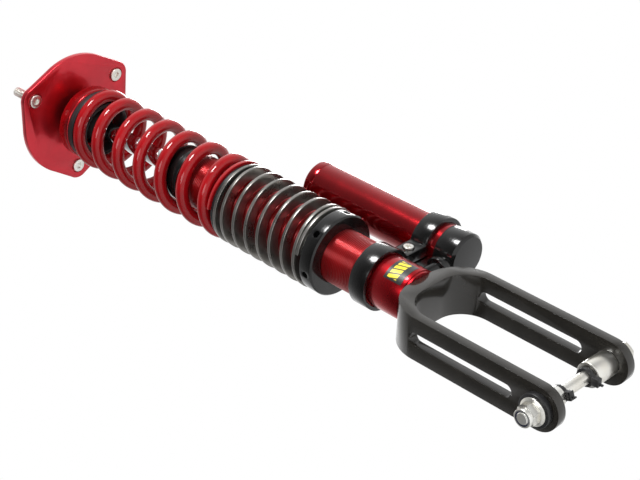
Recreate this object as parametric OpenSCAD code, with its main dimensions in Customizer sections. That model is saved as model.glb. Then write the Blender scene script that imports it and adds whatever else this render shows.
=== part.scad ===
// Fork-ended coilover with a remote reservoir.
// +Z runs up the damper towards the top mount, X is the lower bolt's axis, and the
// origin is the middle of the lower bolt. It is drawn at full droop.

/* [Damper] */
// Outer radius of the threaded body tube
tube_r = 27.5; // [26:0.5:27.5]
// Bore radius of the body tube
tube_bore_r = 23; // [22:0.5:24]
// Height of the body tube's top end
tube_top = 498; // [480:1:500]
// Outer radius of the base that joins the tube to the fork
base_r = 26.5; // [25.5:0.5:27]
// Radius of the polished damper rod
rod_r = 10; // [8:0.5:10]
// Free travel of the damper before it meets the bump stop
stroke = 108; // [60:1:110]

/* [Springs] */
// Inner radius of the main spring
main_id_r = 30; // [30:0.5:31]
// Wire diameter of the main spring
main_wire = 13; // [11:0.5:13]
// Turns of the main spring, closed ends included
main_turns = 7.81; // [6:0.01:9]
// Outer radius of the flat-wire tender spring
tender_r = 41.9; // [41:0.1:43]
// Radial width of the tender's flat wire
tender_w = 11.6; // [5:0.1:11.6]
// Thickness of the tender's flat wire along the axis
tender_t = 3.4; // [2.4:0.2:4]
// Turns of the tender spring, closed ends included
tender_turns = 8.49; // [6:0.01:10]

/* [Fork] */
// Half the clear gap between the fork's arms
fork_gap = 44; // [40:0.5:44]
// Thickness of each arm
arm_t = 9.7; // [9:0.1:12]
// Depth of the fork, front to back
fork_depth = 43; // [40:1:44]
// Height of the underside of the fork's crown
crown_low = 163.5; // [158:0.5:164]
// Height of the top of the fork's crown
crown_top = 179.5; // [178:0.5:180]
// Width of the long slot in each arm
slot_w = 13; // [10:0.5:14]

/* [Lower bolt] */
// Radius of the lower bolt's shank
bolt_r = 6; // [5:0.5:6]
// Thickness of the washer flange outside each arm
washer_t = 6; // [4:0.5:7]
// Outer radius of the nut's flange
nut_flange_r = 13.2; // [12.5:0.1:13.5]

/* [Perch] */
// Height of the perch ring's underside
perch_low = 277.5; // [270:0.5:280]
// Height of the perch ring itself
perch_h = 16.5; // [14:0.5:18]
// Outer radius of the perch ring
perch_r = 41.3; // [40:0.1:42]

/* [Top mount] */
// Height of the mounting plate's underside
plate_low = 679; // [676:1:680]
// Thickness of the mounting plate
plate_t = 6; // [5:0.5:8]
// Radius of the plate between its lobes
plate_r = 68.5; // [66:0.5:70]
// Radius of the circle through the three studs
stud_circle_r = 63; // [62:0.5:65]
// Thread radius of the mounting studs
stud_r = 5; // [4:0.5:5]
// How far the studs stand above the plate
stud_reach = 27; // [20:1:35]
// Radius of the spherical bearing's ball
ball_r = 13; // [12.5:0.5:13]

/* [Reservoir] */
// Distance of the reservoir's axis to the side of the damper
res_x = 79.7; // [78:0.1:82]
// Distance of the reservoir's axis in front of the damper
res_y = -6; // [-8:0.5:0]
// Outer radius of the reservoir
res_r = 23.5; // [22:0.5:24]
// Bore radius of the reservoir
res_bore_r = 20.5; // [18:0.5:20.5]
// Height of the reservoir's lower end
res_low = 188.3; // [187:0.1:190]
// Height of the reservoir's upper end
res_top = 388; // [360:1:400]

/* [Hidden] */

$fn = 64;
eps = 0.02;
run_gap = 0.05;       // clearance of a running fit, on the radius
face_gap = 0.05;      // end play of a turning piece

tube_low = 221;       // bottom end of the body tube
plate_top = plate_low + plate_t;
boss_h = 14;          // bearing boss above the plate
boss_r = 27;
pivot_z = 689;        // centre of the spherical bearing
knurl = 0.6;          // how far the studs' pressed shoulders stand proud of the thread
race_r = 17.5;
race_h = 11;
liner_t = 1;
ball_h = 14;
top_nut_z = 702;
spigot_r = 6;         // threaded upper end of the rod
spacer_r = 9.5;

seat_low = 646;       // underside of the upper spring seat
seat_rim = 661;       // where the seat's rim turns into its cone
seat_top = 676;
seat_r = 39.5;
shoulder_z = 664;     // step on the rod that the seat rests on
recess_r = 22;        // recess in the seat that holds the bump stop
recess_top = 658;
main_top = 639;
main_low = 418;
main_mean_r = main_id_r + main_wire / 2;
divider_t = 3;
tender_top = main_low - divider_t;
perch_top = perch_low + perch_h;
thrust_t = 1.5;
tender_low = perch_top + thrust_t;
main_start = 188;     // where the coils start, degrees round the axis
tender_start = 192;

arm_out = fork_gap + arm_t;
slot_low = 28;
slot_top = 144;
crown_bore_r = 15;
crown_skin = 4;       // left under the blind bore in the crown
corner_in_r = 30;
corner_out_r = corner_in_r + 10.5;
bush_r = 10;
bush_bore_r = bolt_r + run_gap;
bush_flange_r = 16;
bolt_head_h = 8;
nut_seat = arm_out + washer_t;      // distance of the nut's seat from the middle
thread_end = nut_seat + 15.5;
near_tie_x = [-26.5, -22];
far_tie_x = [11, 15.5];

clamp_low = 219.6;
clamp_top = 238.4;
clamp_r = 31.2;
clamp_res_r = 28;
pad_y = -15;          // front face of the pad between the clamp's two rings
clamp_bolt_x = 40;
clamp_bolt_z = (clamp_low + clamp_top) / 2;

res_tube_low = 212.5;
res_cap_h = 12;
port_y = -3;
port_z = 198.5;
port_r = 7;
knob_x = [45, 51];
knob_r = 11.5;

// ---- shared shapes ----

// a ring about Z from z0 to z1
module ring(r_out, r_in, z0, z1) {
    translate([0, 0, z0]) difference() {
        cylinder(r = r_out, h = z1 - z0);
        translate([0, 0, -1]) cylinder(r = r_in, h = z1 - z0 + 2);
    }
}

// a solid disc about Z from z0 to z1
module disc(r, z0, z1) {
    translate([0, 0, z0]) cylinder(r = r, h = z1 - z0);
}

// a solid rod along X from x0 to x1
module rod_x(r, x0, x1) {
    translate([x0, 0, 0]) rotate([0, 90, 0]) cylinder(r = r, h = x1 - x0);
}

// a ring along X from x0 to x1
module ring_x(r_out, r_in, x0, x1) {
    difference() {
        rod_x(r_out, x0, x1);
        rod_x(r_in, x0 - 1, x1 + 1);
    }
}

// a turned shape from [radius, height] points
module turned(points) {
    rotate_extrude() polygon(points);
}

// a hexagon nut about Z with the given width across flats
module hexagon(flats, z0, z1) {
    translate([0, 0, z0]) cylinder(r = flats / sqrt(3), h = z1 - z0, $fn = 6);
}

// Rise of a coil t turns after it leaves a closed end, whose slope is rise per turn.
// The slope eases to the open pitch over the stretch called ease.
function leave(t, closed, ease, rise, pitch) =
    let (u = max(0, min(t - closed, ease)), v = max(0, t - closed - ease))
    rise * (t - v) + (pitch - rise) * u * u / (2 * ease) + pitch * v;

// Height of a coil with two closed ends after t turns
function coil_z(t, turns, height, closed, ease, rise) =
    let (pitch = (height - (2 * closed + ease) * rise) / (turns - 2 * closed - ease))
    t < turns / 2 ? leave(t, closed, ease, rise, pitch)
        : height - leave(turns - t, closed, ease, rise, pitch);

// A coil of the given wire section, swept once as a single closed solid.
// section: points [radial, axial]; low, top: heights of the wire's two ends.
module coil(mean_r, section, turns, closed, ease, rise, low, top, start, steps) {
    m = len(section);
    rings = round(turns * steps);
    points = [for (i = [0:rings], p = section)
        let (t = i / steps, a = start + 360 * t, r = mean_r + p[0],
            z = low + coil_z(t, turns, top - low, closed, ease, rise) + p[1])
        [r * cos(a), r * sin(a), z]];
    sides = [for (i = [0:rings - 1], j = [0:m - 1])
        let (k = (j + 1) % m)
        [i * m + j, i * m + k, (i + 1) * m + k, (i + 1) * m + j]];
    ends = [[for (j = [m - 1:-1:0]) j], [for (j = [0:m - 1]) rings * m + j]];
    polyhedron(points, concat(sides, ends), convexity = 20);
}

module on_reservoir() {
    translate([res_x, res_y, 0]) children();
}

// ---- top mount ----

module plate_outline() {
    lobe_r = 15;
    lean = acos((plate_r - lobe_r) / stud_circle_r);
    circle(r = plate_r, $fn = 128);
    for (a = [91, 211, 331]) {
        c = stud_circle_r * [cos(a), sin(a)];
        translate(c) circle(r = lobe_r);
        // the straight flanks start just inside the arcs, so that each edge really crosses
        polygon([[0, 0], (plate_r - 0.1) * [cos(a - lean), sin(a - lean)],
            c + (lobe_r - 0.1) * [cos(a - lean), sin(a - lean)],
            c + (lobe_r - 0.1) * [cos(a + lean), sin(a + lean)],
            (plate_r - 0.1) * [cos(a + lean), sin(a + lean)]]);
    }
}

module at_studs() {
    for (a = [91, 211, 331]) rotate(a) translate([stud_circle_r, 0, 0]) children();
}

module top_plate() {
    color("firebrick") difference() {
        union() {
            translate([0, 0, plate_low]) linear_extrude(plate_t) plate_outline();
            disc(boss_r, plate_top - 1, plate_top + boss_h);
        }
        disc(14.5, plate_low - 1, pivot_z);
        disc(race_r, pivot_z - race_h / 2, plate_top + boss_h + 1);
        disc(race_r + 1, pivot_z + race_h / 2 + 0.2, pivot_z + race_h / 2 + 1.7);
        at_studs() {
            disc(stud_r + knurl, plate_low - 1, plate_top + 1);
            disc(8.5, plate_low - 1, plate_low + 2);
        }
    }
}

module mount_studs() {
    color("silver") at_studs() difference() {
        union() {
            disc(7.2, plate_low - 1.5, plate_low + 2);
            disc(stud_r + knurl, plate_low + 2 - eps, plate_top);
            disc(stud_r, plate_top - eps, plate_top + stud_reach);
        }
        hexagon(6, plate_low - 2.5, plate_low + 1);
    }
}

module bearing_race() {
    color("gainsboro") difference() {
        disc(race_r, pivot_z - race_h / 2, pivot_z + race_h / 2);
        translate([0, 0, pivot_z]) sphere(r = ball_r + liner_t + 2 * run_gap);
    }
}

module bearing_circlip() {
    z = pivot_z + race_h / 2 + 0.2;
    color("dimgray") difference() {
        ring(race_r + 1, 15.6, z, z + 1.5);
        translate([14, -2.5, z - 1]) cube([6, 5, 4]);
    }
}

module bearing_liner() {
    color("burlywood") difference() {
        intersection() {
            translate([0, 0, pivot_z]) sphere(r = ball_r + liner_t + run_gap);
            disc(ball_r + 5, pivot_z - race_h / 2, pivot_z + race_h / 2);
        }
        translate([0, 0, pivot_z]) sphere(r = ball_r + run_gap);
    }
}

module bearing_ball() {
    color("lightgray") difference() {
        intersection() {
            translate([0, 0, pivot_z]) sphere(r = ball_r);
            disc(ball_r + 5, pivot_z - ball_h / 2, pivot_z + ball_h / 2);
        }
        disc(spigot_r + run_gap, pivot_z - ball_h, pivot_z + ball_h);
    }
}

module lower_spacer() {
    color("silver") ring(spacer_r, spigot_r, seat_top, pivot_z - ball_h / 2 - face_gap);
}

module upper_spacer() {
    color("silver") ring(spacer_r, spigot_r, pivot_z + ball_h / 2 + face_gap, top_nut_z);
}

module top_nut() {
    color("silver") difference() {
        hexagon(18, top_nut_z, top_nut_z + 10);
        disc(spigot_r, top_nut_z - 1, top_nut_z + 11);
    }
}

// ---- rod and what it carries ----

rod_end = pivot_z + 27;

module rebound_knob() {
    color("gold") {
        disc(7, rod_end + 0.4, rod_end + 8);
        disc(1.9, rod_end - 14, rod_end + 1);
    }
}

piston_low = 442;
piston_top = 462;
piston_spigot_r = 5;

module shaft() {
    color("lightgray") difference() {
        union() {
            disc(piston_spigot_r, piston_low - 9, piston_top + eps);
            disc(rod_r, piston_top, shoulder_z);
            disc(spigot_r, shoulder_z - eps, rod_end);
        }
        disc(2, rod_end - 15, rod_end + 1);
    }
}

module upper_spring_seat() {
    color("firebrick") turned([[rod_r, recess_top], [recess_r, recess_top],
        [recess_r, seat_low], [seat_r - 1, seat_low], [seat_r, seat_low + 1],
        [seat_r, seat_rim - 2], [seat_r - 2, seat_rim], [27, seat_top - 4], [16, seat_top],
        [spigot_r, seat_top], [spigot_r, shoulder_z], [rod_r, shoulder_z]]);
}

module seat_pad() {
    color("black") turned([[26, seat_low], [seat_r - 1, seat_low], [seat_r - 1, main_top],
        [main_id_r - 0.4, main_top], [main_id_r - 0.4, main_top - 10], [26, main_top - 10]]);
}

module bump_stop() {
    r_in = rod_r + 0.1;
    low = tube_top + 28 + stroke;
    color("black") turned([[r_in, low], [13, low], [16, low + 3], [17, low + 6],
        [15, low + 9], [18, low + 12], [19, recess_top], [r_in, recess_top]]);
}

module piston() {
    color("gray") difference() {
        disc(tube_bore_r - 0.4, piston_low, piston_top);
        disc(piston_spigot_r, piston_low - 1, piston_top + 1);
        ring(tube_bore_r + 1, tube_bore_r - 2, piston_low + 5, piston_top - 5);
        for (a = [0:60:300]) rotate(a) translate([14, 0, piston_low - 1]) cylinder(r = 3, h = 30);
    }
}

module piston_band() {
    color("saddlebrown") ring(tube_bore_r - run_gap, tube_bore_r - 2, piston_low + 5, piston_top - 5);
}

module piston_nut() {
    color("silver") difference() {
        hexagon(16, piston_low - 7, piston_low);
        disc(piston_spigot_r, piston_low - 8, piston_low + 1);
    }
}

// ---- springs ----

module main_spring() {
    n = 12;
    r = main_wire / 2;
    wire = [for (j = [0:n - 1]) r * [cos(360 * j / n), sin(360 * j / n)]];
    // both ends are ground flat, down to half of the wire at the tips
    color("red") intersection() {
        coil(main_mean_r, wire, main_turns, 0.14, 1.2, 6, main_low, main_top, main_start, 24);
        disc(60, main_low, main_top);
    }
}

module tender_spring() {
    w = tender_w / 2;
    t = tender_t / 2;
    color("gray") coil(tender_r - w, [[-w, -t], [w, -t], [w, t], [-w, t]],
        tender_turns, 0.85, 0.3, tender_t + 0.3, tender_low + t, tender_top - t - 0.1,
        tender_start, 24);
}

module spring_divider() {
    bore = tube_r + 0.7;
    tender_id_r = tender_r - tender_w - 0.8;
    color("black") turned([[bore, tender_top - 6], [tender_id_r, tender_top - 6],
        [tender_id_r, tender_top], [40, tender_top], [40, main_low], [main_id_r - 0.4, main_low],
        [main_id_r - 0.4, main_low + 8], [bore, main_low + 8]]);
}

// ---- perch ----

module thrust_washer() {
    color("lightgray") ring(38, tube_r + 0.7, perch_top + eps, tender_low);
}

module perch_ring() {
    c = 1.5;
    hole_z = perch_low + 8;
    color("black") difference() {
        turned([[tube_r + 0.4, perch_low], [perch_r - c, perch_low], [perch_r, perch_low + c],
            [perch_r, perch_top - c], [perch_r - c, perch_top], [tube_r + 0.4, perch_top]]);
        for (a = [169:60:469]) rotate(a) translate([perch_r - 8, 0, hole_z]) rotate([0, 90, 0])
            cylinder(r = 3.6, h = 10);
        rotate(20) translate([tube_r, 0, hole_z]) rotate([0, 90, 0]) cylinder(r = 2.5, h = 20);
    }
}

module perch_lock_screw() {
    color("silver") rotate(20) translate([tube_r + 0.6, 0, perch_low + 8]) rotate([0, 90, 0])
        cylinder(r = 2.5, h = 12);
}

// ---- damper body ----

module body_tube() {
    color("firebrick") ring(tube_r, tube_bore_r, tube_low, tube_top);
}

module gland_nut() {
    skirt = tube_r + 1.2;
    color("black") turned([[13, tube_top - 10], [tube_bore_r - run_gap, tube_top - 10],
        [tube_bore_r - run_gap, tube_top], [tube_r + run_gap, tube_top],
        [tube_r + run_gap, tube_top - 14], [skirt, tube_top - 14], [skirt, tube_top + 6],
        [skirt - 2, tube_top + 8], [12, tube_top + 8], [12, tube_top + 3], [13, tube_top + 3]]);
}

module wiper_seal() {
    color("darkslategray") ring(12, rod_r + run_gap, tube_top + 4, tube_top + 9.5);
}

module oil_seal() {
    color("darkgreen") ring(13, rod_r + run_gap, tube_top - 9, tube_top - 1);
}

module rod_guide() {
    color("darkgoldenrod") ring(tube_bore_r - run_gap, rod_r + run_gap, tube_top - 26, tube_top - 10);
}

module base_body() {
    color("firebrick") difference() {
        union() {
            disc(base_r, crown_top, tube_low);
            disc(tube_bore_r - run_gap, tube_low - eps, tube_low + 15);
            disc(crown_bore_r, crown_low + crown_skin, crown_top + eps);
        }
        disc(4, port_z, tube_low + 20);
        translate([0, port_y, port_z]) rod_x(3, 0, base_r + 5);
        ring(base_r + 1, base_r - 1.2, crown_top - 0.1, crown_top + 2.5);
    }
}

module base_label() {
    color("gold") intersection() {
        ring(base_r + 0.25, base_r, 186, 207);
        linear_extrude(300) polygon([[0, 0], 60 * [cos(-137), sin(-137)],
            60 * [cos(-108), sin(-108)], 60 * [cos(-78), sin(-78)]]);
    }
}

// ---- fork ----

module u_shape(half, top, corner) {
    translate([-half, 0]) square([2 * half, top - corner]);
    translate([corner - half, 0]) square([2 * (half - corner), top]);
    for (s = [-1, 1]) translate([s * (half - corner), top - corner]) circle(r = corner);
}

module fork_blank() {
    rotate([90, 0, 0]) linear_extrude(fork_depth, center = true) difference() {
        u_shape(arm_out, crown_top, corner_out_r);
        translate([0, -1]) u_shape(fork_gap, crown_low + 1, corner_in_r);
    }
    ring_x(fork_depth / 2, bush_r, fork_gap, arm_out);
    ring_x(fork_depth / 2, bush_r, -arm_out, -fork_gap);
}

module fork() {
    wall = arm_out + 5;
    color("dimgray") difference() {
        fork_blank();
        rod_x(bush_r, -wall, -fork_gap + 5);
        rod_x(bush_r, fork_gap - 5, wall);
        for (s = [-1, 1]) translate([s * (fork_gap + arm_t / 2), 0, 0]) {
            translate([-10, -slot_w / 2, slot_low + slot_w / 2])
                cube([20, slot_w, slot_top - slot_low - slot_w]);
            for (z = [slot_low + slot_w / 2, slot_top - slot_w / 2])
                translate([0, 0, z]) rod_x(slot_w / 2, -10, 10);
        }
        disc(crown_bore_r, crown_low + crown_skin, crown_top + 1);
    }
}

module fork_bushes() {
    color("black") for (s = [-1, 1]) scale([s, 1, 1]) difference() {
        union() {
            rod_x(bush_r, fork_gap, arm_out);
            rod_x(bush_flange_r, arm_out, nut_seat);
        }
        rod_x(bush_bore_r, fork_gap - 5, nut_seat + 1);
    }
}

module lower_bolt() {
    color("silver") {
        rod_x(bolt_r, -thread_end, nut_seat + eps);
        rod_x(nut_flange_r, nut_seat, nut_seat + 2.5);
        translate([nut_seat + 2.4, 0, 0]) rotate([0, 90, 0]) hexagon(18, 0, bolt_head_h);
    }
}

module lower_nut() {
    color("silver") difference() {
        union() {
            rod_x(nut_flange_r, -nut_seat - 2.8, -nut_seat);
            translate([-nut_seat - 11, 0, 0]) rotate([0, 90, 0]) hexagon(18, 0, 9);
            rod_x(8.8, -nut_seat - 15, -nut_seat - 10.9);
        }
        rod_x(bolt_r, -nut_seat - 20, 0);
        rod_x(7.6, -nut_seat - 20, -nut_seat - 12);
    }
}

module nut_insert() {
    color("midnightblue") ring_x(7.6, bolt_r, -nut_seat - 14.6, -nut_seat - 12);
}

module near_sleeve() {
    color("silver") ring_x(9.5, bush_bore_r, -fork_gap, near_tie_x[0] - 0.5);
}

module far_sleeve() {
    color("silver") difference() {
        ring_x(12, bush_bore_r, far_tie_x[1] + 0.5, fork_gap);
        rod_x(8.5, far_tie_x[1] - 1, far_tie_x[1] + 2.5);
    }
}

// a zip tie round the bolt, its head hanging at the given angle
module tie(x, r, turn) {
    color("black") difference() {
        union() {
            rod_x(r, x[0], x[1]);
            rotate([turn, 0, 0]) translate([x[0] - 0.5, -4, r - 1.5])
                cube([x[1] - x[0] + 1, 8, 7]);
            rotate([turn, 0, 0]) translate([x[0] + 1, -2, r + 5])
                cube([x[1] - x[0] - 2, 1.4, 4]);
        }
        rod_x(bush_bore_r, x[0] - 1, x[1] + 1);
    }
}

module near_tie() {
    tie(near_tie_x, 8.4, 157);
}

module far_tie() {
    tie(far_tie_x, 8.8, 177);
}

// ---- reservoir ----

module reservoir_clamp() {
    h = clamp_top - clamp_low;
    color("black") difference() {
        union() {
            disc(clamp_r, clamp_low, clamp_top);
            on_reservoir() disc(clamp_res_r, clamp_low, clamp_top);
            translate([20, pad_y, clamp_low]) cube([44, 27, h]);
        }
        disc(tube_r, clamp_low - 1, clamp_top + 1);
        on_reservoir() disc(res_r, clamp_low - 1, clamp_top + 1);
        translate([20, -4, clamp_low - 1]) cube([44, 2.5, h + 2]);
        translate([clamp_bolt_x, 30, clamp_bolt_z]) rotate([90, 0, 0]) cylinder(r = 3, h = 60);
        translate([clamp_bolt_x, pad_y + 3, clamp_bolt_z]) rotate([90, 0, 0]) cylinder(r = 5.8, h = 20);
    }
}

module clamp_bolt() {
    color("silver") difference() {
        translate([clamp_bolt_x, 0, clamp_bolt_z]) rotate([90, 0, 0]) {
            translate([0, 0, -pad_y - 3]) cylinder(r = 5, h = 5);
            translate([0, 0, -8]) cylinder(r = 3, h = -pad_y + 6);
        }
        translate([clamp_bolt_x, pad_y + 0.5, clamp_bolt_z]) rotate([90, 0, 0])
            cylinder(r = 2.6, h = 5, $fn = 6);
    }
}

module reservoir_tube() {
    color("firebrick") on_reservoir() ring(res_r, res_bore_r, res_tube_low, res_top - res_cap_h);
}

module reservoir_upper_cap() {
    low = res_top - res_cap_h;
    spigot = res_bore_r - run_gap;
    color("firebrick") on_reservoir() difference() {
        turned([[0, low - 10], [spigot, low - 10], [spigot, low], [res_r, low],
            [res_r, res_top - 2.5], [res_r - 2.5, res_top], [0, res_top]]);
        disc(9, res_top - 7, res_top + 1);
        disc(3, low - 11, res_top);
    }
}

module reservoir_lower_cap() {
    spigot = res_bore_r - run_gap;
    color("black") on_reservoir() difference() {
        turned([[0, res_low], [res_r - 2.5, res_low], [res_r, res_low + 3], [res_r, res_tube_low],
            [spigot, res_tube_low], [spigot, res_tube_low + 12], [0, res_tube_low + 12]]);
        disc(5, port_z, res_tube_low + 13);
        translate([-res_x, port_y - res_y, port_z]) rod_x(3, res_x - res_r - 3, res_x);
    }
}

piston_floor = 262;

module floating_piston() {
    color("silver") on_reservoir() difference() {
        disc(res_bore_r - 0.3, piston_floor, piston_floor + 20);
        disc(15, piston_floor + 6, piston_floor + 21);
        ring(res_bore_r + 1, res_bore_r - 2, piston_floor + 3, piston_floor + 6);
    }
}

module floating_piston_seal() {
    color("black") on_reservoir()
        ring(res_bore_r - run_gap, res_bore_r - 2, piston_floor + 3, piston_floor + 6);
}

module gas_valve() {
    color("gold") on_reservoir() {
        disc(3, res_top - res_cap_h - 6, res_top - 6.9);
        disc(4.5, res_top - 7, res_top - 1);
    }
}

module transfer_fitting() {
    color("black") difference() {
        translate([0, port_y, port_z]) {
            rod_x(port_r, base_r - 6, res_x - res_r + 4);
            rod_x(9, knob_x[1] + 0.3, res_x - res_r + 4);
        }
        disc(base_r, 0, 300);
        on_reservoir() disc(res_r, 0, 300);
        translate([0, port_y, port_z]) rod_x(3, 0, res_x);
    }
}

// dial round the fitting that closes the compression port
module compression_knob() {
    c = 1;
    color("dimgray") translate([knob_x[0], port_y, port_z]) rotate([0, 90, 0])
        turned([[port_r + run_gap, 0], [knob_r - c, 0], [knob_r, c],
            [knob_r, knob_x[1] - knob_x[0] - c], [knob_r - c, knob_x[1] - knob_x[0]],
            [port_r + run_gap, knob_x[1] - knob_x[0]]]);
}

// ---- draw ----

top_plate();
mount_studs();
bearing_race();
bearing_circlip();
bearing_liner();
bearing_ball();
lower_spacer();
upper_spacer();
top_nut();
rebound_knob();
shaft();
upper_spring_seat();
seat_pad();
bump_stop();
main_spring();
spring_divider();
tender_spring();
thrust_washer();
perch_ring();
perch_lock_screw();
body_tube();
gland_nut();
wiper_seal();
oil_seal();
rod_guide();
piston();
piston_band();
piston_nut();
base_body();
base_label();
fork();
fork_bushes();
lower_bolt();
lower_nut();
nut_insert();
near_sleeve();
far_sleeve();
near_tie();
far_tie();
reservoir_clamp();
clamp_bolt();
reservoir_tube();
reservoir_upper_cap();
reservoir_lower_cap();
floating_piston();
floating_piston_seal();
gas_valve();
transfer_fitting();
compression_knob();
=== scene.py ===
import bpy, bmesh, math
from mathutils import Matrix, Vector


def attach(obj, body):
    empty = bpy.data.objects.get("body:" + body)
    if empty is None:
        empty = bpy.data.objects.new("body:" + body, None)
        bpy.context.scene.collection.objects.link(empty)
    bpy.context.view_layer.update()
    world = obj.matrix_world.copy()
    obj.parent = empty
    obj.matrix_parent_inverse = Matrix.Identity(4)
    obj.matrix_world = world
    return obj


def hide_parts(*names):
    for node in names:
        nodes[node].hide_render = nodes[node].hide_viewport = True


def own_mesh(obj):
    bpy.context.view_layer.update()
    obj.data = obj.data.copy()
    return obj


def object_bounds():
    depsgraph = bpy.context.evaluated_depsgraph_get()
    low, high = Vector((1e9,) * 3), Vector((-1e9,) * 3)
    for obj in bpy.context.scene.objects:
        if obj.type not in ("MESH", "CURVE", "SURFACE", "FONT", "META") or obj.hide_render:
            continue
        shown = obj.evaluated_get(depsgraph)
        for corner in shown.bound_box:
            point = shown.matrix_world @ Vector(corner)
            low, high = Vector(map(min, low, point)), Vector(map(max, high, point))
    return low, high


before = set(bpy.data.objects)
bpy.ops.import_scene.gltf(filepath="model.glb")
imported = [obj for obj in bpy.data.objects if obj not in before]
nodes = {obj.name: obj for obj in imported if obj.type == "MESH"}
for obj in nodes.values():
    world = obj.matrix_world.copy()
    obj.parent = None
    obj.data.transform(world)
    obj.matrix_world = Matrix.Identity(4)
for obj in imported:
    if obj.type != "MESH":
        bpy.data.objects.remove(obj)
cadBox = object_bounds()
mm = 0.001
tau = 2 * math.pi
print("frame loaded,", len(nodes), "CAD nodes")


# Camera, light and floor

shot = {
    "place": (-0.97559, -0.80047, -0.61336),
    "target": (0.01791, 0.00947, 0.32294),
    "skyward": (0.34103, -0.85922, 0.38138),  # the way that points up in the render
    "lens": 91.63,
}


def placeCamera():
    eye, target = Vector(shot["place"]), Vector(shot["target"])
    back = (eye - target).normalized()
    right = Vector(shot["skyward"]).cross(back).normalized()
    up = back.cross(right)
    data = bpy.data.cameras.new("camera")
    data.lens, data.sensor_width = shot["lens"], 36
    data.clip_start, data.clip_end = 0.05, 30
    camera = bpy.data.objects.new("camera", data)
    camera.matrix_world = Matrix.Translation(eye) @ Matrix((right, up, back)).transposed().to_4x4()
    bpy.context.scene.collection.objects.link(camera)
    bpy.context.scene.camera = camera
    return right, up, back


right, up, back = placeCamera()

studio = {
    "sky": 1.0,          # white seen behind the part
    "shade": 0.07,       # grey of the room on the camera's side
    "glow": 0.40,        # grey of the room above
    "back": 1.1,         # white of the room straight behind the part
    "softbox": [         # each: direction as (right, up, towards the camera), distance, size, watts
        ((-0.30, 0.95, 0.45), 1.5, 0.5, 22),
        ((0.10, 0.42, -0.90), 1.9, 0.7, 14),
        ((-0.60, 0.10, 0.95), 2.4, 1.2, 14),
        ((0.35, -0.85, 0.55), 1.8, 0.8, 4),
    ],
    "floorDrop": 0.90,   # the floor lies this far below the part
}


def lightStudio():
    middle = Vector(shot["target"])
    for k, (way, distance, size, watts) in enumerate(studio["softbox"]):
        direction = (right * way[0] + up * way[1] + back * way[2]).normalized()
        data = bpy.data.lights.new("softbox" + str(k), "AREA")
        data.shape, data.size, data.energy = "DISK", size, watts
        lamp = bpy.data.objects.new("softbox" + str(k), data)
        lamp.location = middle + direction * distance
        lamp.rotation_euler = direction.to_track_quat("Z", "Y").to_euler()
        bpy.context.scene.collection.objects.link(lamp)

    world = bpy.data.worlds.new("studio")
    bpy.context.scene.world = world
    world.use_nodes = True
    tree = world.node_tree
    tree.nodes.clear()
    out = tree.nodes.new("ShaderNodeOutputWorld")
    mix = tree.nodes.new("ShaderNodeMixShader")
    seen = tree.nodes.new("ShaderNodeBackground")
    room = tree.nodes.new("ShaderNodeBackground")
    path = tree.nodes.new("ShaderNodeLightPath")
    coord = tree.nodes.new("ShaderNodeTexCoord")
    dot = tree.nodes.new("ShaderNodeVectorMath")
    ramp = tree.nodes.new("ShaderNodeValToRGB")
    level = tree.nodes.new("ShaderNodeMapRange")
    seen.inputs["Color"].default_value = (studio["sky"],) * 3 + (1,)
    dot.operation = "DOT_PRODUCT"
    dot.inputs[1].default_value = (up * 0.35 - back * 0.9).normalized()
    level.inputs["From Min"].default_value = -1
    ramp.color_ramp.elements[0].position = 0.34
    ramp.color_ramp.elements[0].color = (studio["shade"],) * 3 + (1,)
    ramp.color_ramp.elements[1].position = 0.60
    ramp.color_ramp.elements[1].color = (studio["glow"],) * 3 + (1,)
    ramp.color_ramp.elements.new(0.88).color = (studio["back"],) * 3 + (1,)
    tree.links.new(coord.outputs["Generated"], dot.inputs[0])
    tree.links.new(dot.outputs["Value"], level.inputs["Value"])
    tree.links.new(level.outputs["Result"], ramp.inputs["Fac"])
    tree.links.new(ramp.outputs["Color"], room.inputs["Color"])
    tree.links.new(path.outputs["Is Camera Ray"], mix.inputs["Fac"])
    tree.links.new(room.outputs[0], mix.inputs[1])
    tree.links.new(seen.outputs[0], mix.inputs[2])
    tree.links.new(mix.outputs[0], out.inputs["Surface"])

    bpy.context.scene.view_settings.view_transform = "Standard"

    z = cadBox[0][2] - studio["floorDrop"]
    mesh = bpy.data.meshes.new("floor")
    mesh.from_pydata([(-6, -6, z), (6, -6, z), (6, 6, z), (-6, 6, z)], [], [(0, 1, 2, 3)])
    floor = bpy.data.objects.new("floor", mesh)
    bpy.context.scene.collection.objects.link(floor)
    paint = bpy.data.materials.new("paleFloor")
    paint.use_nodes = True
    shader = paint.node_tree.nodes["Principled BSDF"]
    shader.inputs["Base Color"].default_value = (0.86, 0.86, 0.86, 1)
    shader.inputs["Roughness"].default_value = 0.7
    mesh.materials.append(paint)


lightStudio()
print("camera, lights and floor placed")


# Finishes

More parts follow.
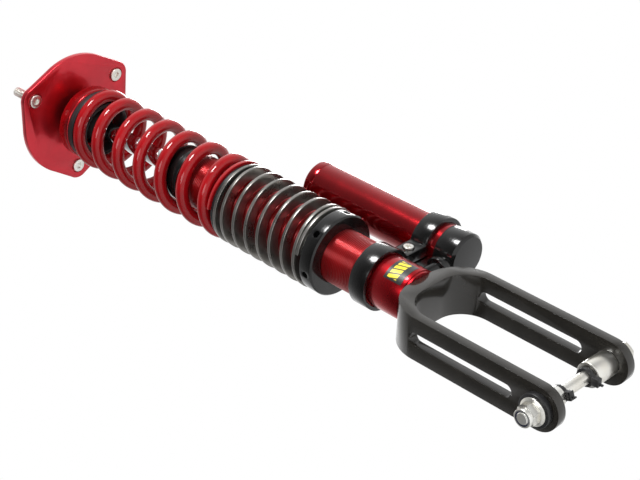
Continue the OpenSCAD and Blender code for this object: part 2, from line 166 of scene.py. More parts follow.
finishes = {
    "redPowder": {
        "color": (0.31, 0.002, 0.005), "metal": 0.0, "rough": 0.5, "shine": 0.05, "coat": 0.75,
        "coatRough": 0.06, "peel": 0.10, "peelSize": 900, "mottle": 0.12
    },
    "redAnodised": {
        "color": (0.30, 0.002, 0.004), "metal": 0.7, "rough": 0.30, "coat": 0.3, "coatRough": 0.08,
        "lathe": 0.05, "laths": 2400, "mottle": 0.15
    },
    "redPolished": {
        "color": (0.42, 0.006, 0.012), "metal": 0.9, "rough": 0.27, "coat": 0.35,
        "coatRough": 0.04, "peel": 0.02, "peelSize": 300, "mottle": 0.12
    },
    # the same red anodising as the other red parts, made lighter: painted light on the top plate
    "redPlatePaintedLight": {
        "color": (0.60, 0.030, 0.045), "metal": 0.9, "rough": 0.30, "coat": 0.3, "coatRough": 0.06,
        "peel": 0.02, "peelSize": 300, "mottle": 0.10
    },
    # the same red anodising as the other red parts, made darker: painted shade on the reservoir tube and
    # upper cap
    "redReservoirPaintedShade": {
        "color": (0.30, 0.002, 0.006), "metal": 0.85, "rough": 0.18, "coat": 0.6,
        "coatRough": 0.04, "peel": 0.008, "peelSize": 300, "mottle": 0.10
    },
    "blackAnodised": {
        "color": (0.006, 0.006, 0.006), "metal": 0.0, "rough": 0.20, "shine": 0.35, "coat": 0.3,
        "coatRough": 0.08, "lathe": 0.04, "laths": 2000, "mottle": 0.2
    },
    "forkPaint": {
        "color": (0.020, 0.018, 0.015), "metal": 0.0, "rough": 0.20, "shine": 0.4, "coat": 0.35,
        "coatRough": 0.06, "peel": 0.06, "peelSize": 700, "mottle": 0.2
    },
    "zincPlate": {
        "color": (0.86, 0.86, 0.83), "metal": 1.0, "rough": 0.30, "peel": 0.05, "peelSize": 500,
        "mottle": 0.12, "stain": (0.62, 0.55, 0.40)
    },
    "turnedSteel": {
        "color": (0.62, 0.61, 0.60), "metal": 1.0, "rough": 0.24, "lathe": 0.06, "laths": 2600,
        "mottle": 0.15
    },
    "springSteel": {
        "color": (0.26, 0.25, 0.235), "metal": 0.9, "rough": 0.28, "peel": 0.05, "peelSize": 900,
        "mottle": 0.25
    },
    "hardChrome": {
        "color": (0.75, 0.75, 0.76), "metal": 1.0, "rough": 0.05, "peel": 0.004, "peelSize": 300,
        "mottle": 0.05
    },
    "bronze": {
        "color": (0.42, 0.28, 0.11), "metal": 1.0, "rough": 0.35, "lathe": 0.05, "laths": 2200,
        "mottle": 0.2
    },
    "brass": {
        "color": (0.70, 0.52, 0.18), "metal": 1.0, "rough": 0.25, "lathe": 0.05, "laths": 2200,
        "mottle": 0.15
    },
    "goldAnodised": {
        "color": (0.75, 0.48, 0.08), "metal": 1.0, "rough": 0.28, "lathe": 0.04, "laths": 2200,
        "mottle": 0.1
    },
    "sealRubber": {
        "color": (0.012, 0.012, 0.013), "metal": 0.0, "rough": 0.6, "peel": 0.1, "peelSize": 1500,
        "mottle": 0.3
    },
    "foamRubber": {
        "color": (0.020, 0.019, 0.018), "metal": 0.0, "rough": 0.75, "peel": 0.35,
        "peelSize": 1800, "mottle": 0.35
    },
    "blackNylon": {
        "color": (0.014, 0.014, 0.015), "metal": 0.0, "rough": 0.38, "peel": 0.06,
        "peelSize": 1200, "mottle": 0.25
    },
    "insertNylon": {
        "color": (0.030, 0.035, 0.075), "metal": 0.0, "rough": 0.45, "peel": 0.06,
        "peelSize": 1200, "mottle": 0.25
    },
    "bearingLiner": {
        "color": (0.33, 0.22, 0.12), "metal": 0.0, "rough": 0.7, "peel": 0.2, "peelSize": 2500,
        "mottle": 0.4
    },
}
made = {}


def link(tree, a, b):
    tree.links.new(a, b)


# A procedural material from its row in finishes
def finish(name):
    if name in made:
        return made[name]
    row = finishes[name]
    material = bpy.data.materials.new(name)
    material.use_nodes = True
    tree = material.node_tree
    shader = tree.nodes["Principled BSDF"]
    shader.inputs["Metallic"].default_value = row["metal"]
    if "coat" in row:
        shader.inputs["Coat Weight"].default_value = row["coat"]
        shader.inputs["Coat Roughness"].default_value = row["coatRough"]
    if "shine" in row:
        shader.inputs["Specular IOR Level"].default_value = row["shine"]
    coord = tree.nodes.new("ShaderNodeTexCoord")

    # slow mottling of colour and gloss, as from handling and uneven plating
    cloud = tree.nodes.new("ShaderNodeTexNoise")
    cloud.inputs["Scale"].default_value = 45
    cloud.inputs["Detail"].default_value = 5
    link(tree, coord.outputs["Object"], cloud.inputs["Vector"])
    tint = tree.nodes.new("ShaderNodeMixRGB")
    base = row["color"]
    low = tuple(c * (1 - row["mottle"]) for c in base)
    high = row.get("stain") or tuple(min(1, c * (1 + row["mottle"])) for c in base)
    tint.inputs["Color1"].default_value = low + (1,)
    tint.inputs["Color2"].default_value = tuple(high) + (1,)
    if "stain" in row:
        tint.inputs["Color1"].default_value = base + (1,)
    share = tree.nodes.new("ShaderNodeMapRange")
    share.inputs["From Min"].default_value = 0.35
    share.inputs["From Max"].default_value = 0.75
    share.inputs["To Max"].default_value = 0.45 if "stain" in row else 1
    link(tree, cloud.outputs["Fac"], share.inputs["Value"])
    link(tree, share.outputs["Result"], tint.inputs["Fac"])
    link(tree, tint.outputs["Color"], shader.inputs["Base Color"])
    gloss = tree.nodes.new("ShaderNodeMapRange")
    gloss.inputs["To Min"].default_value = row["rough"] * 0.8
    gloss.inputs["To Max"].default_value = row["rough"] * 1.25
    link(tree, cloud.outputs["Fac"], gloss.inputs["Value"])
    link(tree, gloss.outputs["Result"], shader.inputs["Roughness"])

    bump = tree.nodes.new("ShaderNodeBump")
    if "lathe" in row:  # fine turning lines round the piece's own Z
        wave = tree.nodes.new("ShaderNodeTexWave")
        wave.bands_direction = "Z"
        wave.inputs["Scale"].default_value = row["laths"] / 20
        wave.inputs["Distortion"].default_value = 1.5
        wave.inputs["Detail"].default_value = 3
        link(tree, coord.outputs["Object"], wave.inputs["Vector"])
        link(tree, wave.outputs["Fac"], bump.inputs["Height"])
        bump.inputs["Strength"].default_value = row["lathe"]
    else:  # orange peel, casting grain or foam cells
        grain = tree.nodes.new("ShaderNodeTexNoise")
        grain.inputs["Scale"].default_value = row["peelSize"]
        grain.inputs["Detail"].default_value = 2
        link(tree, coord.outputs["Object"], grain.inputs["Vector"])
        link(tree, grain.outputs["Fac"], bump.inputs["Height"])
        bump.inputs["Strength"].default_value = row["peel"]
    bump.inputs["Distance"].default_value = 0.0004
    link(tree, bump.outputs["Normal"], shader.inputs["Normal"])
    made[name] = material
    return material


# Making shapes

def addPiece(name, mesh, material, body, slot, *replaced):
    piece = bpy.data.objects.new(name, mesh)
    bpy.context.scene.collection.objects.link(piece)
    mesh.materials.clear()
    mesh.materials.append(finish(material) if isinstance(material, str) else material)
    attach(piece, body)
    if replaced:
        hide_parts(*replaced)
    return piece


def smoothByAngle(mesh, degrees=35):
    mesh.shade_smooth()
    mesh.set_sharp_from_angle(angle=math.radians(degrees))


# A mesh from millimetre points, with doubles merged and faces turned outwards
def meshFrom(name, points, faces, degrees=35):
    bm = bmesh.new()
    corners = [bm.verts.new(Vector(p) * mm) for p in points]
    for face in faces:
        if len(set(face)) > 2:
            try:
                bm.faces.new([corners[k] for k in dict.fromkeys(face)])
            except ValueError:
                pass
    bmesh.ops.remove_doubles(bm, verts=bm.verts, dist=1e-6)
    bmesh.ops.recalc_face_normals(bm, faces=bm.faces)
    mesh = bpy.data.meshes.new(name)
    bm.to_mesh(mesh)
    bm.free()
    smoothByAngle(mesh, degrees)
    return mesh


# A copy of a CAD node with its real edges rounded by width millimetres
def softened(name, node, width=0.5, segments=2, angle=32, flats=1.0):
    mesh = nodes[node].data.copy()
    mesh.name = name
    bm = bmesh.new()
    bm.from_mesh(mesh)
    bmesh.ops.remove_doubles(bm, verts=bm.verts, dist=2e-6)
    bmesh.ops.dissolve_limit(bm, angle_limit=math.radians(flats), verts=bm.verts, edges=bm.edges)
    bm.to_mesh(mesh)
    bm.free()
    holder = bpy.data.objects.new(name + "Blank", mesh)
    bpy.context.scene.collection.objects.link(holder)
    bevel = holder.modifiers.new("edges", "BEVEL")
    bevel.width, bevel.segments = width * mm, segments
    bevel.limit_method, bevel.angle_limit = "ANGLE", math.radians(angle)
    bevel.miter_outer = "MITER_ARC"
    bevel.use_clamp_overlap = True
    done = bpy.data.meshes.new_from_object(holder.evaluated_get(bpy.context.evaluated_depsgraph_get()))
    bpy.data.objects.remove(holder)
    done.name = name
    smoothByAngle(done, 40)
    return done


# A closed [r, z] outline with its corners rounded
def rounded(profile, radius, steps=3):
    result = []
    count = len(profile)
    for k in range(count):
        a, b, c = (Vector(profile[(k + d) % count]) for d in (-1, 0, 1))
        ab, cb = (a - b), (c - b)
        if b.x < 1e-6 or ab.length < 1e-6 or cb.length < 1e-6:
            result.append(tuple(b))
            continue
        reach = min(radius, ab.length * 0.45, cb.length * 0.45)
        p, q = b + ab.normalized() * reach, b + cb.normalized() * reach
        for s in range(steps + 1):
            t = s / steps
            result.append(tuple(p * (1 - t) ** 2 + b * 2 * t * (1 - t) + q * t * t))
    return result


# A turned piece about Z (moved to place) from an [r, z] outline in millimetres
def turned(name, profile, segments=96, corner=0.4, degrees=35, place=(0, 0), closed=True):
    outline = rounded(profile, corner) if corner else list(profile)
    points, faces = [], []
    count = len(outline)
    for r, z in outline:
        for j in range(segments):
            a = tau * j / segments
            points.append((place[0] + r * math.cos(a), place[1] + r * math.sin(a), z))
    for i in range(count if closed else count - 1):
        for j in range(segments):
            k, n = (j + 1) % segments, (i + 1) % count
            faces.append((i * segments + j, i * segments + k, n * segments + k, n * segments + j))
    return meshFrom(name, points, faces, degrees)


# A Math node fed with numbers or sockets
def calc(tree, operation, *values):
    node = tree.nodes.new("ShaderNodeMath")
    node.operation = operation
    for k, value in enumerate(values):
        if isinstance(value, (int, float)):
            node.inputs[k].default_value = value
        else:
            tree.links.new(value, node.inputs[k])
    return node.outputs[0]


# A geometry node tree with named float inputs; returns it, its inputs by name and their identifiers
def newTree(name, sizes):
    tree = bpy.data.node_groups.new(name, "GeometryNodeTree")
    tree.interface.new_socket("Geometry", in_out="OUTPUT", socket_type="NodeSocketGeometry")
    identifiers = {}
    for label, value in sizes.items():
        socket = tree.interface.new_socket(label, in_out="INPUT", socket_type="NodeSocketFloat")
        socket.default_value = value
        identifiers[label] = socket.identifier
    source = tree.nodes.new("NodeGroupInput")
    return tree, {label: source.outputs[label] for label in sizes}, identifiers


# Runs a tree on an empty carrier and returns its plain mesh
def grow(name, tree, identifiers, sizes):
    carrier = bpy.data.objects.new(name + "Carrier", bpy.data.meshes.new(name + "Carrier"))
    bpy.context.scene.collection.objects.link(carrier)
    modifier = carrier.modifiers.new("grow", "NODES")
    modifier.node_group = tree
    for label, value in sizes.items():
        modifier[identifiers[label]] = float(value)
    mesh = bpy.data.meshes.new_from_object(carrier.evaluated_get(bpy.context.evaluated_depsgraph_get()))
    carrier.modifiers.remove(modifier)
    bpy.data.objects.remove(carrier)
    mesh.name = name
    return mesh


# Coil springs

mainSpring = {
    "turns": 7.81, "closed": 0.14, "ease": 1.2, "rise": 6, "low": 418, "top": 639,
    "radius": 36.5, "start": 188, "wide": 13, "steps": 56,
}
tenderSpring = {
    "turns": 8.49, "closed": 0.85, "ease": 0.3, "rise": 3.7, "low": 295.5 + 1.7, "top": 415 - 1.8,
    "radius": 41.9 - 11.6 / 2, "start": 192, "wide": 11.6, "thick": 3.4, "steps": 72,
}


# A closed-end coil whose height follows its turns; the slope eases from the end coils to the open ones
def coilTree(name, sizes, roundWire, material):
    tree, size, identifiers = newTree(name, sizes)

    def reckon(operation, *values):
        return calc(tree, operation, *values)

    count = reckon("ADD", reckon("ROUND", reckon("MULTIPLY", size["turns"], size["steps"])), 1)
    line = tree.nodes.new("GeometryNodeMeshLine")
    link(tree, count, line.inputs["Count"])
    index = tree.nodes.new("GeometryNodeInputIndex").outputs[0]
    t = reckon("DIVIDE", index, size["steps"])
    height = reckon("SUBTRACT", size["top"], size["low"])
    ends = reckon("MULTIPLY_ADD", size["closed"], 2, size["ease"])
    pitch = reckon("DIVIDE", reckon("SUBTRACT", height, reckon("MULTIPLY", ends, size["rise"])),
                   reckon("SUBTRACT", size["turns"], ends))
    near = reckon("MINIMUM", t, reckon("SUBTRACT", size["turns"], t))
    past = reckon("SUBTRACT", near, size["closed"])
    u = reckon("MAXIMUM", 0, reckon("MINIMUM", past, size["ease"]))
    v = reckon("MAXIMUM", 0, reckon("SUBTRACT", past, size["ease"]))
    steeper = reckon("SUBTRACT", pitch, size["rise"])
    bend = reckon("DIVIDE", reckon("MULTIPLY", steeper, reckon("MULTIPLY", u, u)),
                  reckon("MULTIPLY", size["ease"], 2))
    leave = reckon("ADD", reckon("MULTIPLY", size["rise"], reckon("SUBTRACT", near, v)),
                   reckon("ADD", bend, reckon("MULTIPLY", pitch, v)))
    upper = reckon("GREATER_THAN", reckon("MULTIPLY", t, 2), size["turns"])
    lift = reckon("ADD", reckon("MULTIPLY", leave, reckon("SUBTRACT", 1, reckon("MULTIPLY", upper, 2))),
                  reckon("MULTIPLY", upper, height))
    z = reckon("MULTIPLY", reckon("ADD", size["low"], lift), mm)
    angle = reckon("ADD", reckon("MULTIPLY", t, tau), reckon("MULTIPLY", size["start"], tau / 360))
    reach = reckon("MULTIPLY", size["radius"], mm)
    place = tree.nodes.new("ShaderNodeCombineXYZ")
    link(tree, reckon("MULTIPLY", reach, reckon("COSINE", angle)), place.inputs["X"])
    link(tree, reckon("MULTIPLY", reach, reckon("SINE", angle)), place.inputs["Y"])
    link(tree, z, place.inputs["Z"])
    move = tree.nodes.new("GeometryNodeSetPosition")
    link(tree, line.outputs["Mesh"], move.inputs["Geometry"])
    link(tree, place.outputs["Vector"], move.inputs["Position"])
    curve = tree.nodes.new("GeometryNodeMeshToCurve")
    link(tree, move.outputs["Geometry"], curve.inputs["Mesh"])
    level = tree.nodes.new("GeometryNodeSetCurveNormal")
    level.mode = "Z_UP"
    link(tree, curve.outputs["Curve"], level.inputs["Curve"])
    sweep = tree.nodes.new("GeometryNodeCurveToMesh")
    sweep.inputs["Fill Caps"].default_value = True
    link(tree, level.outputs["Curve"], sweep.inputs["Curve"])
    if roundWire:
        wire = tree.nodes.new("GeometryNodeCurvePrimitiveCircle")
        wire.inputs["Resolution"].default_value = 28
        link(tree, reckon("MULTIPLY", size["wide"], mm / 2), wire.inputs["Radius"])
        link(tree, wire.outputs["Curve"], sweep.inputs["Profile Curve"])
    else:
        wire = tree.nodes.new("GeometryNodeCurvePrimitiveQuadrilateral")
        link(tree, reckon("MULTIPLY", size["wide"], mm), wire.inputs["Width"])
        link(tree, reckon("MULTIPLY", size["thick"], mm), wire.inputs["Height"])
        soften = tree.nodes.new("GeometryNodeFilletCurve")
        soften.mode = "POLY"
        soften.inputs["Count"].default_value = 3
        soften.inputs["Radius"].default_value = 0.55 * mm
        link(tree, wire.outputs["Curve"], soften.inputs["Curve"])
        link(tree, soften.outputs["Curve"], sweep.inputs["Profile Curve"])
    real = tree.nodes.new("GeometryNodeRealizeInstances")
    dress = tree.nodes.new("GeometryNodeSetMaterial")
    dress.inputs["Material"].default_value = finish(material)
    out = tree.nodes.new("NodeGroupOutput")
    link(tree, sweep.outputs["Mesh"], real.inputs["Geometry"])
    link(tree, real.outputs["Geometry"], dress.inputs["Geometry"])
    link(tree, dress.outputs["Geometry"], out.inputs["Geometry"])
    return tree, identifiers


# Joins a coil's doubled vertices and turns its faces outwards
def weld(mesh):
    bm = bmesh.new()
    bm.from_mesh(mesh)
    bmesh.ops.remove_doubles(bm, verts=bm.verts, dist=1e-6)
    bmesh.ops.recalc_face_normals(bm, faces=bm.faces)
    bm.to_mesh(mesh)
    bm.free()


# Grinds a spring's end flat at height z
def trim(mesh, z, keepAbove):
    bm = bmesh.new()
    bm.from_mesh(mesh)
    normal = Vector((0, 0, 1))
    cut = bmesh.ops.bisect_plane(bm, geom=bm.verts[:] + bm.edges[:] + bm.faces[:], dist=1e-7,
                                 plane_co=Vector((0, 0, z * mm)), plane_no=normal,
                                 clear_inner=keepAbove, clear_outer=not keepAbove)
    rim = [e for e in cut["geom_cut"] if isinstance(e, bmesh.types.BMEdge)]
    bmesh.ops.triangle_fill(bm, use_beauty=True, use_dissolve=False, edges=rim)
    bmesh.ops.recalc_face_normals(bm, faces=bm.faces)
    bm.to_mesh(mesh)
    bm.free()


def makeSprings():
    tree, identifiers = coilTree("roundWireCoil", mainSpring, True, "redPowder")
    mesh = grow("mainSpringCoil", tree, identifiers, mainSpring)
    weld(mesh)
    trim(mesh, mainSpring["low"], True)
    trim(mesh, mainSpring["top"], False)
    smoothByAngle(mesh, 40)
    piece = addPiece("mainSpringCoil", mesh, "redPowder", "divider", "red_powder", "main_spring")
    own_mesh(piece)

    tree, identifiers = coilTree("flatWireCoil", tenderSpring, False, "springSteel")
    mesh = grow("tenderSpringCoil", tree, identifiers, tenderSpring)
    weld(mesh)
    smoothByAngle(mesh, 40)
    piece = addPiece("tenderSpringCoil", mesh, "springSteel", "perch_carrier", "spring_steel",
                     "tender_spring")
    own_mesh(piece)


makeSprings()
print("springs coiled")


# Threaded tube

threadedTube = {
    "outer": 27.5, "bore": 23, "low": 221, "top": 498, "threadLow": 240, "threadTop": 496,
    "pitch": 2.0, "depth": 0.30, "rows": 8, "segments": 96,
}


# Depth of a flat-crested thread, 0 at the crest and 1 at the root
def threadProfile(phase):
    wave = 0.5 - 0.5 * math.cos(tau * phase)
    return min(1, max(0, 1.5 * wave - 0.25))


def makeTube():
    s = threadedTube
    heights = [(s["low"], 0), (s["low"] + 0.4, 0), (s["threadLow"], 0)]
    z = s["threadLow"]
    while z < s["threadTop"]:
        z += s["pitch"] / s["rows"]
        heights.append((z, min(1, (z - s["threadLow"]) / 3, max(0, s["threadTop"] - z) / 2)))
    heights += [(s["top"] - 0.5, 0), (s["top"], 0)]
    n = s["segments"]
    points, faces = [], []
    for k, (z, share) in enumerate(heights):
        lip = 0.4 if k in (0, len(heights) - 1) else 0
        for j in range(n):
            turn = j / n
            cut = s["depth"] * share * threadProfile((z / s["pitch"] - turn) % 1)
            r = s["outer"] - lip - cut
            points.append((r * math.cos(tau * turn), r * math.sin(tau * turn), z))
    for z in (s["top"], s["low"]):
        for j in range(n):
            points.append((s["bore"] * math.cos(tau * j / n), s["bore"] * math.sin(tau * j / n), z))
    rows = len(heights) + 2
    for i in range(rows):
        for j in range(n):
            k, m = (j + 1) % n, (i + 1) % rows
            faces.append((i * n + j, i * n + k, m * n + k, m * n + j))
    mesh = meshFrom("threadedTube", points, faces, 60)
    addPiece("threadedTube", mesh, "redAnodised", "damper", "red_anodised", "body_tube")


makeTube()
print("tube threaded")


# Nuts, bolts and studs

# A hexagon about Z, chamfered at its upper end only, as a flanged nut's is
def hexPrism(name, flats, z0, z1, bore=0, chamfer=30, segments=72):
    apothem = flats / 2
    crown = apothem * 0.97
    drop = math.tan(math.radians(chamfer))
    points, faces = [], []
    rings = 6
    for j in range(segments):
        a = tau * j / segments
        spread = (a + tau / 12) % (tau / 6) - tau / 12
        r = apothem / math.cos(spread)
        fall = max(0, (r - crown) * drop)
        ring = [(bore, z0), (r, z0), (r, z0 + 0.01), (r, z1 - fall), (min(r, crown), z1), (bore, z1)]
        points += [(q * math.cos(a), q * math.sin(a), z) for q, z in ring]
    for j in range(segments):
        k = (j + 1) % segments
        for i in range(rings - (0 if bore else 1)):
            n = (i + 1) % rings
            faces.append((j * rings + i, k * rings + i, k * rings + n, j * rings + n))
    return meshFrom(name, points, faces, 24)


# A threaded rod about Z with chamfered ends
def threadedRod(name, radius, z0, z1, pitch, depth, rows=6, segments=40, lead=1.0):
    heights = []
    z = z0
    while z < z1 - 1e-6:
        heights.append(z)
        z += pitch / rows
    heights.append(z1)
    points, faces = [(0, 0, z0)], []
    for z in heights:
        near = min(z - z0, z1 - z)
        taper = max(0, lead - near) * 0.9
        for j in range(segments):
            turn = j / segments
            cut = depth * threadProfile((z / pitch - turn) % 1)
            r = radius - max(taper, cut)
            points.append((r * math.cos(tau * turn), r * math.sin(tau * turn), z))
    points.append((0, 0, z1))
    last = len(points) - 1
    for i in range(len(heights) - 1):
        for j in range(segments):
            k = (j + 1) % segments
            a = 1 + i * segments
            faces.append((a + j, a + k, a + segments + k, a + segments + j))
    for j in range(segments):
        k = (j + 1) % segments
        faces.append((0, 1 + k, 1 + j))
        faces.append((last, last - segments + j, last - segments + k))
    return meshFrom(name, points, faces, 50)


# Several meshes made one
def joined(name, meshes, degrees=35):
    bm = bmesh.new()
    for mesh in meshes:
        bm.from_mesh(mesh)
    result = bpy.data.meshes.new(name)
    bm.to_mesh(result)
    bm.free()
    smoothByAngle(result, degrees)
    return result


def moved(mesh, matrix):
    mesh.transform(matrix)
    return mesh


alongX = Matrix.Rotation(math.pi / 2, 4, "Y")   # a piece made about Z is laid along +X

lowerFixings = {
    "nutSeat": 59.7, "flange": 13.2, "flats": 18, "bolt": 6, "end": 75.2, "insert": 7.6,
}


def makeLowerFixings():
    s = lowerFixings
    seat = s["nutSeat"]
    shank = turned("shank", [(0, -44), (s["bolt"], -44), (s["bolt"], seat), (0, seat)], 48, 0.1, closed=False)
    thread = threadedRod("thread", s["bolt"], -s["end"], -43.9, 1.25, 0.7)
    flange = turned("flange", [(0, seat), (s["flange"], seat), (s["flange"], seat + 1.2), (11, seat + 2.6),
                               (0, seat + 2.6)], 72, 0.3, closed=False)
    head = hexPrism("head", s["flats"], seat + 2.4, seat + 10.4)
    bolt = moved(joined("lowerBoltTurned", [shank, thread, flange, head]), alongX)
    addPiece("lowerBoltTurned", bolt, "zincPlate", "damper", "zinc", "lower_bolt")

    # the nut is made about Z with its seat at 0, then turned to face the arm
    ontoArm = Matrix.Translation((-seat * mm, 0, 0)) @ Matrix.Rotation(-math.pi / 2, 4, "Y")
    flange = turned("nutFlange", [(s["bolt"], 0), (s["flange"] - 0.4, 0), (s["flange"], 0.6),
                                  (s["flange"], 1.3), (10.6, 2.9), (s["bolt"], 2.9)], 72, 0.3)
    body = hexPrism("nutBody", s["flats"], 2.6, 11, bore=s["bolt"])
    collar = turned("nutCollar", [(s["insert"], 10.8), (8.9, 10.8), (8.9, 14.2), (8.4, 15.0), (7.0, 15.0),
                                  (s["insert"], 14.6)], 72, 0.3)
    nut = joined("lowerNutFlanged", [flange, body, collar])
    nut.transform(ontoArm)
    addPiece("lowerNutFlanged", nut, "zincPlate", "damper", "zinc", "lower_nut")
    inner, outer = s["bolt"] + 0.05, s["insert"] - 0.05
    ring = turned("insertRing", [(inner, 11.8), (outer, 11.8), (outer, 14.4), (inner, 14.6)], 48, 0.2)
    ring.transform(ontoArm)
    addPiece("insertRing", ring, "insertNylon", "damper", "nut_nylon", "nut_insert")


makeLowerFixings()


topStuds = {"circle": 63, "first": 91, "thread": 5, "head": 7.2, "low": 677.5, "top": 712}


def studMesh():
    s = topStuds
    thread = threadedRod("studThread", s["thread"], 686, s["top"], 1.25, 0.65)
    knurl = turned("studShoulder", [(0, 680.9), (s["thread"] + 0.55, 680.9), (s["thread"] + 0.55, 685),
                                    (s["thread"] - 0.1, 686.2), (0, 686.2)], 48, 0.1, closed=False)
    # low head with a hexagon socket
    points, faces = [], []
    n = 48
    low = s["low"]
    for j in range(n):
        a = tau * j / n
        socket = 3.0 / math.cos((a + tau / 12) % (tau / 6) - tau / 12)
        ring = [(0, low + 2.6), (socket, low + 2.2), (socket, low + 0.3), (socket + 0.4, low),
                (s["head"] - 0.8, low), (s["head"] - 0.2, low + 0.3), (s["head"], low + 0.9),
                (s["head"], low + 3.5), (0, low + 3.5)]
        points += [(q * math.cos(a), q * math.sin(a), z) for q, z in ring]
    for j in range(n):
        k = (j + 1) % n
        for i in range(8):
            faces.append((j * 9 + i, k * 9 + i, k * 9 + i + 1, j * 9 + i + 1))
    head = meshFrom("studHead", points, faces, 30)
    return joined("stud", [thread, knurl, head])


# Three studs set round the plate by a node tree
def makeStuds():
    s = topStuds
    stud = bpy.data.objects.new("studSource", studMesh())
    bpy.context.scene.collection.objects.link(stud)
    sizes = {"circle": s["circle"], "first": s["first"], "count": 3}
    tree, size, identifiers = newTree("studsRound", sizes)
    line = tree.nodes.new("GeometryNodeMeshLine")
    link(tree, size["count"], line.inputs["Count"])
    index = tree.nodes.new("GeometryNodeInputIndex").outputs[0]
    angle = calc(tree, "ADD", calc(tree, "MULTIPLY", size["first"], tau / 360),
                 calc(tree, "MULTIPLY", index, calc(tree, "DIVIDE", tau, size["count"])))
    place = tree.nodes.new("ShaderNodeCombineXYZ")
    reach = calc(tree, "MULTIPLY", size["circle"], mm)
    link(tree, calc(tree, "MULTIPLY", reach, calc(tree, "COSINE", angle)), place.inputs["X"])
    link(tree, calc(tree, "MULTIPLY", reach, calc(tree, "SINE", angle)), place.inputs["Y"])
    move = tree.nodes.new("GeometryNodeSetPosition")
    link(tree, line.outputs["Mesh"], move.inputs["Geometry"])
    link(tree, place.outputs["Vector"], move.inputs["Position"])
    source = tree.nodes.new("GeometryNodeObjectInfo")
    source.inputs["Object"].default_value = stud
    put = tree.nodes.new("GeometryNodeInstanceOnPoints")
    turn = tree.nodes.new("ShaderNodeCombineXYZ")
    link(tree, angle, turn.inputs["Z"])
    real = tree.nodes.new("GeometryNodeRealizeInstances")
    dress = tree.nodes.new("GeometryNodeSetMaterial")
    dress.inputs["Material"].default_value = finish("zincPlate")
    out = tree.nodes.new("NodeGroupOutput")
    link(tree, move.outputs["Geometry"], put.inputs["Points"])
    link(tree, source.outputs["Geometry"], put.inputs["Instance"])
    link(tree, turn.outputs["Vector"], put.inputs["Rotation"])
    link(tree, put.outputs["Instances"], real.inputs["Geometry"])
    link(tree, real.outputs["Geometry"], dress.inputs["Geometry"])
    link(tree, dress.outputs["Geometry"], out.inputs["Geometry"])
    mesh = grow("topStuds", tree, identifiers, sizes)
    bpy.data.objects.remove(stud)
    smoothByAngle(mesh, 35)
    addPiece("topStuds", mesh, "zincPlate", "top_mount", "zinc", "mount_studs")


makeStuds()
print("fixings made")


# Machined pieces taken from the CAD, with their edges broken

machined = {
    # node: (finish, body, slot, edge radius)
    "top_plate": ("redPlatePaintedLight", "top_mount", "red_anodised", 0.6),
    "upper_spring_seat": ("redPolished", "rod", "red_anodised", 0.5),
    "perch_ring": ("blackAnodised", "perch", "black_anodised", 0.4),
    "base_body": ("redPolished", "damper", "red_anodised", 0.5),
    "reservoir_clamp": ("blackAnodised", "damper", "black_anodised", 0.7),
    "reservoir_upper_cap": ("redReservoirPaintedShade", "damper", "red_anodised", 0.4),
    "reservoir_lower_cap": ("blackAnodised", "damper", "black_anodised", 0.4),
    "transfer_fitting": ("blackAnodised", "damper", "black_anodised", 0.4),
    "gland_nut": ("blackAnodised", "damper", "black_anodised", 0.4),
    "fork": ("forkPaint", "damper", "fork_steel", 1.0),
    "fork_bushes": ("blackNylon", "damper", "nylon", 0.5),
    "far_sleeve": ("zincPlate", "damper", "zinc", 0.4),
    "near_sleeve": ("zincPlate", "damper", "zinc", 0.4),
    "near_tie": ("blackNylon", "damper", "nylon", 0.4),
    "far_tie": ("blackNylon", "damper", "nylon", 0.4),
    "clamp_bolt": ("zincPlate", "damper", "zinc", 0.3),
    "compression_knob": ("blackAnodised", "compression_adjuster", "black_anodised", 0.3),
    "rebound_knob": ("goldAnodised", "rebound_adjuster", "gold_anodised", 0.3),
    "spring_divider": ("blackNylon", "divider", "nylon", 0.4),
    "seat_pad": ("blackNylon", "rod", "nylon", 0.4),
    "bump_stop": ("foamRubber", "rod", "bump_rubber", 0.8),
    "top_nut": ("zincPlate", "rod", "zinc", 0.4),
    "gas_valve": ("brass", "damper", "brass", 0.3),
}


def makeMachined():
    for node, (material, body, slot, width) in machined.items():
        mesh = softened(node + "Finished", node, width)
        addPiece(node + "Finished", mesh, material, body, slot, node)


makeMachined()
print("machined pieces finished")


# Label on the base

label = {
    "radius": 26.75, "low": 186, "high": 207, "from": -137, "to": -78,
    "bars": 5, "lean": 0.25, "gap": 0.26, "edge": 0.08, "middle": 0.58, "reach": 0.26,
    "yellow": (0.85, 0.70, 0.02), "black": (0.010, 0.010, 0.010),
}


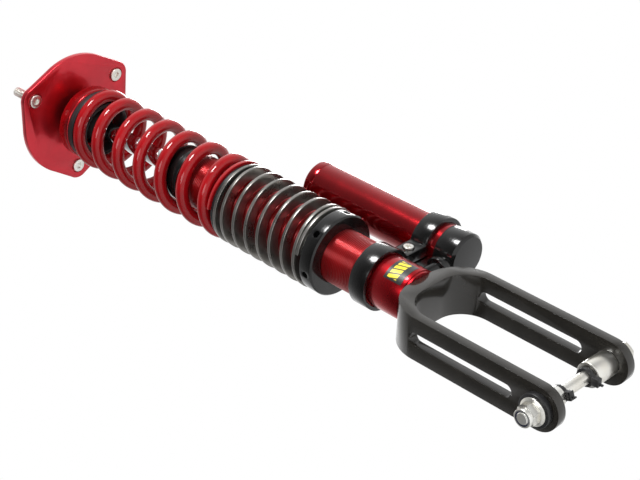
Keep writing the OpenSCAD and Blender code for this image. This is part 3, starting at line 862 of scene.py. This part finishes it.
def labelFoil():
    material = bpy.data.materials.new("labelFoil")
    material.use_nodes = True
    tree = material.node_tree
    shader = tree.nodes["Principled BSDF"]
    shader.inputs["Roughness"].default_value = 0.35
    shader.inputs["Coat Weight"].default_value = 0.6
    shader.inputs["Coat Roughness"].default_value = 0.12
    coord = tree.nodes.new("ShaderNodeTexCoord")
    split = tree.nodes.new("ShaderNodeSeparateXYZ")
    link(tree, coord.outputs["UV"], split.inputs["Vector"])
    u, v = split.outputs["X"], split.outputs["Y"]
    slant = calc(tree, "ADD", u, calc(tree, "MULTIPLY", v, label["lean"]))
    across = calc(tree, "MULTIPLY", slant, label["bars"])
    bar = calc(tree, "GREATER_THAN", calc(tree, "FRACT", across), label["gap"])
    sideways = calc(tree, "ABSOLUTE", calc(tree, "SUBTRACT", u, 0.5))
    upwards = calc(tree, "ABSOLUTE", calc(tree, "SUBTRACT", v, label["middle"]))
    inside = calc(tree, "MULTIPLY", calc(tree, "LESS_THAN", sideways, 0.5 - label["edge"]),
                  calc(tree, "LESS_THAN", upwards, label["reach"]))
    ink = tree.nodes.new("ShaderNodeMixRGB")
    ink.inputs["Color1"].default_value = label["black"] + (1,)
    ink.inputs["Color2"].default_value = label["yellow"] + (1,)
    link(tree, calc(tree, "MULTIPLY", bar, inside), ink.inputs["Fac"])
    link(tree, ink.outputs["Color"], shader.inputs["Base Color"])
    return material


def makeLabel():
    s = label
    columns, rows = 40, 10
    points, faces, places = [], [], []
    for i in range(rows + 1):
        for j in range(columns + 1):
            u, v = j / columns, i / rows
            a = math.radians(s["from"] + (s["to"] - s["from"]) * u)
            z = s["low"] + (s["high"] - s["low"]) * v
            points.append((s["radius"] * math.cos(a) * mm, s["radius"] * math.sin(a) * mm, z * mm))
            places.append((u, v))
    for i in range(rows):
        for j in range(columns):
            a = i * (columns + 1) + j
            faces.append((a, a + 1, a + columns + 2, a + columns + 1))
    mesh = bpy.data.meshes.new("baseLabelFoil")
    mesh.from_pydata(points, [], faces)
    layer = mesh.uv_layers.new(name="foil")
    for loop in mesh.loops:
        layer.data[loop.index].uv = places[loop.vertex_index]
    mesh.shade_smooth()
    addPiece("baseLabelFoil", mesh, labelFoil(), "damper", "label", "base_label")


makeLabel()
print("label placed")


# CAD nodes that only need their finish

keptNodes = {
    "bearing_race": "turnedSteel", "bearing_circlip": "springSteel", "bearing_liner": "bearingLiner",
    "bearing_ball": "hardChrome", "lower_spacer": "turnedSteel", "upper_spacer": "turnedSteel",
    "shaft": "hardChrome", "thrust_washer": "turnedSteel", "perch_lock_screw": "zincPlate",
    "wiper_seal": "sealRubber", "oil_seal": "sealRubber", "rod_guide": "bronze", "piston": "turnedSteel",
    "piston_band": "bearingLiner", "piston_nut": "zincPlate", "reservoir_tube": "redReservoirPaintedShade",
    "floating_piston": "turnedSteel", "floating_piston_seal": "sealRubber",
}


def dressKept():
    for node, material in keptNodes.items():
        for slot in nodes[node].material_slots:
            slot.material = finish(material)


dressKept()
print("kept nodes dressed")
